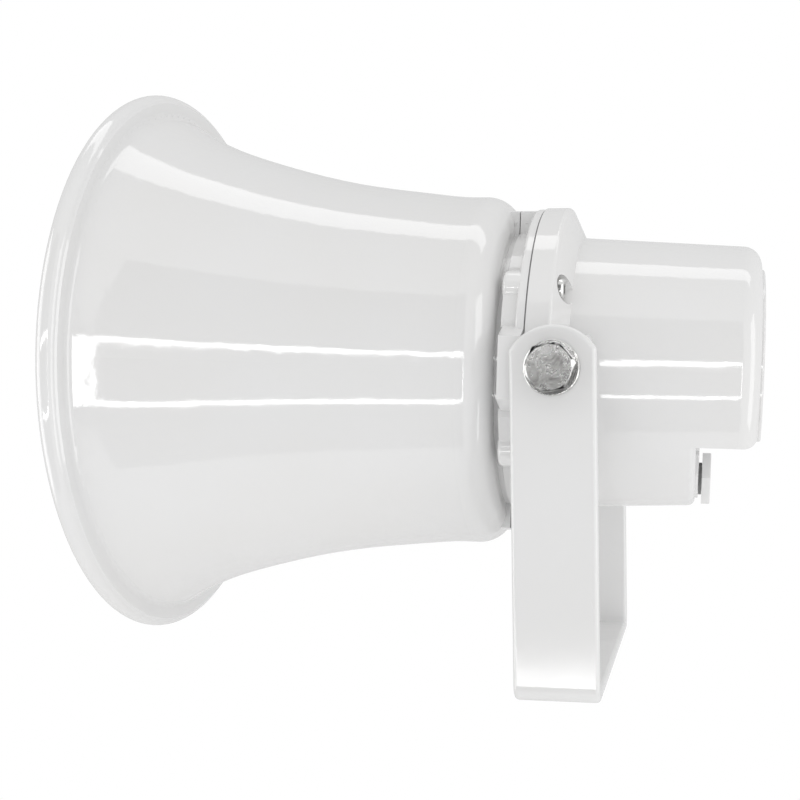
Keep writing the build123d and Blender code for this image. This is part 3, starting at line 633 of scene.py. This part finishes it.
# ---- studio -------------------------------------------------------------------
@dataclass(frozen=True)
class Viewpoint:
    """Camera beside the object, a little behind the pivot and below it."""

    place: tuple = (399.3 * MM, 41.5 * MM, 85.4 * MM)
    yaw: float = 14.38
    pitch: float = 2.66
    roll: float = -1.05
    lens: float = 53.43
    rise: float = 0.081

    def build(self) -> None:
        """Make the camera and give it to the scene."""
        data = bpy.data.cameras.new("camera")
        data.sensor_width = SENSOR_WIDTH
        data.lens = self.lens
        data.shift_y = self.rise
        data.clip_start = 0.01
        camera = linked("camera", data)
        yaw, pitch, roll = (math.radians(angle) for angle in (self.yaw, self.pitch, self.roll))
        ahead = Vector((-math.cos(yaw) * math.cos(pitch), -math.sin(yaw) * math.cos(pitch),
                        -math.sin(pitch)))
        level = Vector((-math.sin(yaw), math.cos(yaw), 0.0))
        right = level * math.cos(roll) + level.cross(ahead) * math.sin(roll)
        up = right.cross(ahead)
        turn = Matrix((right, up, -ahead)).transposed().to_4x4()
        camera.matrix_world = Matrix.Translation(self.place) @ turn
        bpy.context.scene.camera = camera


@dataclass(frozen=True)
class Strip:
    """One bright strip or panel, between the middles of its two ends."""

    name: str
    start: tuple
    stop: tuple
    width: float
    radiance: float

    def build(self, aim: Vector) -> None:
        """Make the strip as an area light that the camera doesn't see.

        Args:
            aim: the point that the strip faces.
        """
        start, stop = Vector(self.start), Vector(self.stop)
        data = bpy.data.lights.new(self.name, "AREA")
        data.shape = "RECTANGLE"
        data.size = (stop - start).length
        data.size_y = self.width
        data.energy = self.radiance * math.pi * data.size * data.size_y
        light = linked(self.name, data)
        centre = (start + stop) / 2
        along = (stop - start).normalized()
        back = centre - aim
        back = (back - along * back.dot(along)).normalized()
        turn = Matrix((along, back.cross(along), back)).transposed().to_4x4()
        light.matrix_world = Matrix.Translation(centre) @ turn
        light.visible_camera = False
        light.visible_diffuse = False


@dataclass(frozen=True)
class Studio:
    """White tent: world light, brighter on the camera's side, a pale floor, card and strips."""

    floor_half: float = 6.0
    tent_dim: float = 0.66
    tent_bright: float = 1.0
    tent_aim: tuple = (0.74, 0.66, 0.12)
    floor_glow: float = 0.34
    focus: tuple = (0.0, -0.03, 0.095)
    strips: tuple = (
        Strip("strip_top", (0.65, -0.60, 0.196), (0.65, 0.214, 0.196), 0.026, 9.0),
        Strip("strip_side", (0.65, 0.214, -0.136), (0.65, 0.214, 0.196), 0.020, 9.0),
        Strip("strip_low", (0.65, -0.60, -0.136), (0.65, 0.214, -0.136), 0.028, 9.0),
        Strip("panel_mouth", (0.36, -0.85, -0.5), (0.36, -0.85, 0.7), 0.50, 2.6),
        Strip("panel_rear", (0.30, 0.85, -0.5), (0.30, 0.85, 0.7), 0.40, 2.0),
        Strip("panel_roof", (-0.10, -0.6, 1.05), (-0.10, 0.6, 1.05), 0.25, 1.8),
    )
    card_x: float = 0.70
    card_y: tuple = (-0.60, 0.255)
    card_z: tuple = (-0.74, 0.82)
    card_glow: float = 0.15

    def build(self) -> None:
        """Make floor, world and lights."""
        self.floor()
        self.card()
        self.world()
        for strip in self.strips:
            strip.build(Vector(self.focus))
        bpy.context.scene.view_settings.view_transform = "Standard"

    def floor(self) -> None:
        """Pale floor at the bracket's underside."""
        bm = bmesh.new()
        bmesh.ops.create_grid(bm, x_segments=2, y_segments=2, size=self.floor_half)
        floor = linked("floor", mesh_from(bm, "floor"))
        g = Graph("floor_paper")
        g.set(Base_Color=(0.80, 0.80, 0.80, 1.0), Roughness=0.9, Specular_IOR_Level=0.0,
              Emission_Color=WHITE, Emission_Strength=self.floor_glow)
        floor.data.materials.append(g.material)
        floor.visible_glossy = False
        floor.visible_camera = False
        floor.visible_shadow = False

    def card(self) -> None:
        """Upright panel behind the bright frame, much dimmer than the tent."""
        bm = bmesh.new()
        corners = ((self.card_y[0], self.card_z[0]), (self.card_y[1], self.card_z[0]),
                   (self.card_y[1], self.card_z[1]), (self.card_y[0], self.card_z[1]))
        bm.faces.new([bm.verts.new((self.card_x, y, z)) for y, z in corners])
        card = linked("card", mesh_from(bm, "card"))
        g = Graph("card_cloth")
        g.set(Base_Color=BLACK, Specular_IOR_Level=0.0, Roughness=1.0,
              Emission_Color=WHITE, Emission_Strength=self.card_glow)
        card.data.materials.append(g.material)
        card.visible_camera = False
        card.visible_diffuse = False
        card.visible_shadow = False

    def world(self) -> None:
        """White surroundings, plain to the camera and brighter one way in what they light."""
        world = bpy.data.worlds.new("tent")
        world.use_nodes = True
        nodes, links = world.node_tree.nodes, world.node_tree.links
        back = nodes["Background"]
        coordinates = nodes.new("ShaderNodeTexCoord")
        toward = nodes.new("ShaderNodeVectorMath")
        toward.operation = "DOT_PRODUCT"
        toward.inputs[1].default_value = Vector(self.tent_aim).normalized()
        ramp = nodes.new("ShaderNodeMapRange")
        seen = nodes.new("ShaderNodeLightPath")
        choose = nodes.new("ShaderNodeMix")
        for key, value in (("From Min", -1.0), ("From Max", 1.0), ("To Min", self.tent_dim),
                           ("To Max", self.tent_bright)):
            ramp.inputs[key].default_value = value
        links.new(coordinates.outputs["Generated"], toward.inputs[0])
        links.new(toward.outputs["Value"], ramp.inputs["Value"])
        links.new(seen.outputs["Is Camera Ray"], choose.inputs["Factor"])
        links.new(ramp.outputs["Result"], choose.inputs["A"])
        choose.inputs["B"].default_value = 1.0
        back.inputs["Color"].default_value = WHITE
        links.new(choose.outputs["Result"], back.inputs["Strength"])
        bpy.context.scene.world = world


def dress_frame(wardrobe: Wardrobe) -> None:
    """Give every carried-over node its finish.

    Args:
        wardrobe: the finishes.
    """
    for name, finish in NODE_FINISH.items():
        wardrobe.dress(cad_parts[name], finish)
        LOG.info("%s wears %s", name, finish.value.name)


def main() -> None:
    """Build the pieces, dress them and set the studio."""
    logging.basicConfig(level=logging.INFO, format="%(message)s")
    wardrobe = Wardrobe()
    dress_frame(wardrobe)
    fine_pieces(wardrobe)
    Viewpoint().build()
    Studio().build()


if __name__ == "__main__":
    main()
